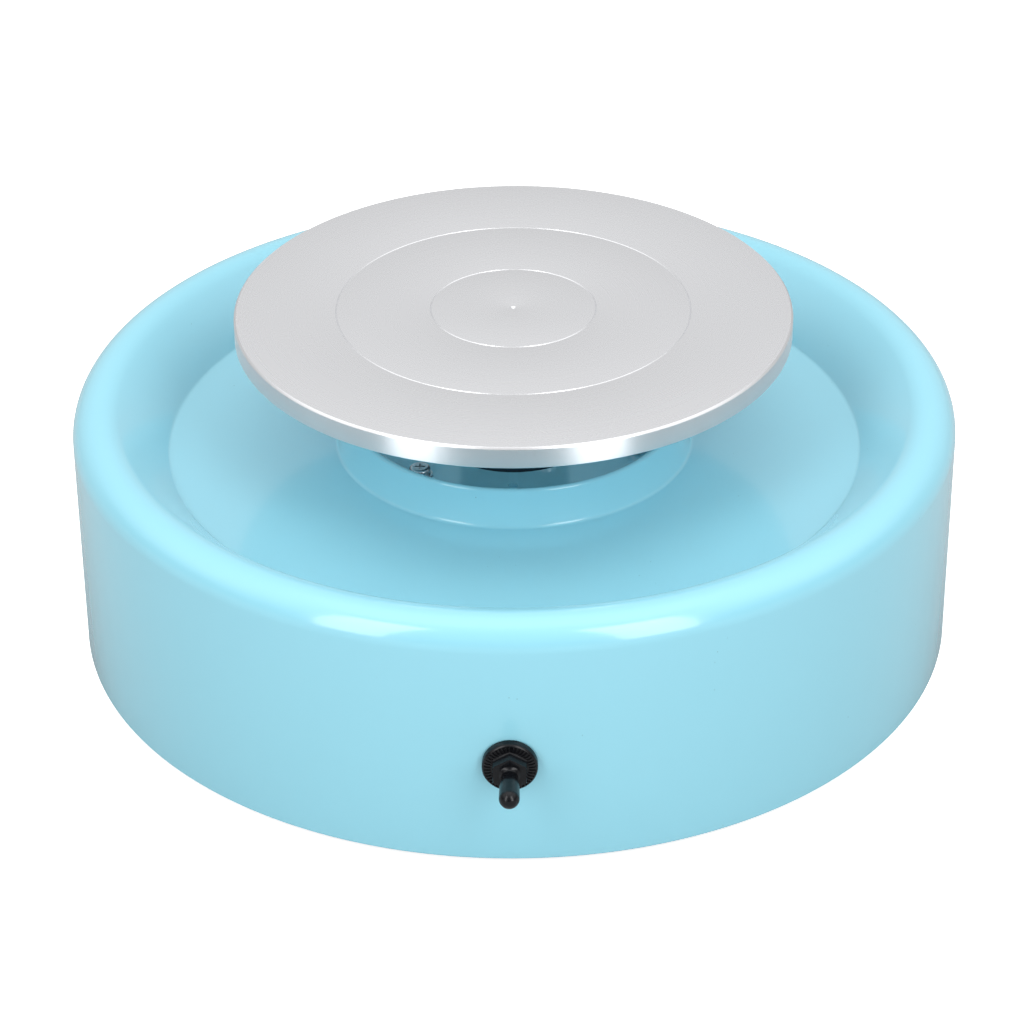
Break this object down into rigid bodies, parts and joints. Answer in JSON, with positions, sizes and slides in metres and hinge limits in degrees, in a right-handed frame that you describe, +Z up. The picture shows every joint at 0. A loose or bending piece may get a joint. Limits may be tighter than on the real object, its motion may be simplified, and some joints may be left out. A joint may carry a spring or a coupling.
{
  "type": "pottery wheel",
  "caption": "Tabletop electric pottery wheel: a round basin with a splash rim and a central collar, a grooved turning disc on a spindle, a geared motor inside and a booted toggle switch.",
  "frame": {"origin": "on the table, on the spin axis", "axes": "+Z up along the spin axis, -Y to the front, where the switch is"},
  "size_m": [0.24, 0.2575, 0.0972],
  "materials": {
    "basin_abs": "gloss moulded, pale blue",
    "cover_abs": "fine texture",
    "turned_aluminium": "face turned, bright edge",
    "machined_aluminium": "turned",
    "steel": "zinc plated",
    "bearing_steel": "ground",
    "blackened_steel": "phosphated",
    "zinc_casting": "die cast, dull",
    "brass": "machined",
    "copper": "enamelled wire",
    "ferrite": "sintered",
    "carbon": "pressed",
    "black_rubber": "moulded",
    "black_plastic": "moulded",
    "red_insulation": "extruded",
    "black_insulation": "extruded"
  },
  "bodies": {
    "base": {"housing_shell": "basin_abs", "bottom_cover": "cover_abs", "rubber_feet": "black_rubber", "cover_screws": "steel", "bearing_block": "blackened_steel", "retaining_rings": "blackened_steel", "bearing_outer_rings": "bearing_steel", "bearing_balls": "bearing_steel", "bearing_shields": "steel", "block_screws": "steel", "motor_plate": "steel", "gearbox_mount_screws": "steel", "deck_washers": "steel", "deck_screws": "steel", "deck_nuts": "steel", "gearbox_case": "zinc_casting", "gearbox_back_plate": "steel", "gearbox_screws": "steel", "gear_pins": "bearing_steel", "output_bush": "brass", "motor_can": "steel", "motor_screws": "steel", "motor_magnets": "ferrite", "motor_end_cap": "black_plastic", "motor_brushes": "carbon", "motor_terminals": "brass", "motor_bushes": "brass", "switch_bushing": "steel", "switch_nut": "steel", "switch_frame": "steel", "switch_body": "black_plastic", "switch_terminals": "brass", "boot_nut": "black_rubber", "lever_pin": "steel", "inlet_body": "black_plastic", "inlet_pin": "steel", "inlet_nut": "steel", "inlet_tags": "brass", "positive_wires": "red_insulation", "negative_wires": "black_insulation"},
    "wheel": {"wheel_head": "turned_aluminium", "hub_flange": "blackened_steel", "hub_screws": "steel", "hub_set_screws": "blackened_steel", "spindle": "bearing_steel", "bearing_inner_rings": "bearing_steel", "bearing_spacer": "machined_aluminium", "shaft_seal": "black_rubber", "output_shaft": "bearing_steel", "output_gear": "steel"},
    "second_gear_set": {"second_gear": "steel"},
    "first_gear_set": {"first_gear": "steel"},
    "rotor": {"rotor_shaft": "bearing_steel", "motor_pinion": "brass", "armature_core": "steel", "armature_windings": "copper", "commutator": "copper"},
    "toggle": {"switch_lever": "steel", "boot_sleeve": "black_rubber"}
  },
  "joints": [
    {"name": "wheel_spin", "type": "hinge", "parent": "base", "child": "wheel", "pos_m": [0, 0, 0.06], "axis": [0, 0, 1], "continuous": true},
    {"name": "second_gear_spin", "type": "hinge", "parent": "base", "child": "second_gear_set", "pos_m": [-0.007, 0.00975, 0.045], "axis": [0, 0, 1], "continuous": true},
    {"name": "first_gear_spin", "type": "hinge", "parent": "base", "child": "first_gear_set", "pos_m": [-0.01544, 0.00488, 0.045], "axis": [0, 0, 1], "continuous": true},
    {"name": "rotor_spin", "type": "hinge", "parent": "base", "child": "rotor", "pos_m": [-0.007, 0, 0.03], "axis": [0, 0, 1], "continuous": true},
    {"name": "toggle_tilt", "type": "hinge", "parent": "base", "child": "toggle", "pos_m": [0, -0.1205, 0.0327], "axis": [1, 0, 0], "range_deg": [-12, 12]}
  ],
  "couplings": [
    {"joint": "second_gear_spin", "follows": "wheel_spin", "ratio": -3},
    {"joint": "first_gear_spin", "follows": "wheel_spin", "ratio": 6.75},
    {"joint": "rotor_spin", "follows": "wheel_spin", "ratio": -15.188}
  ]
}
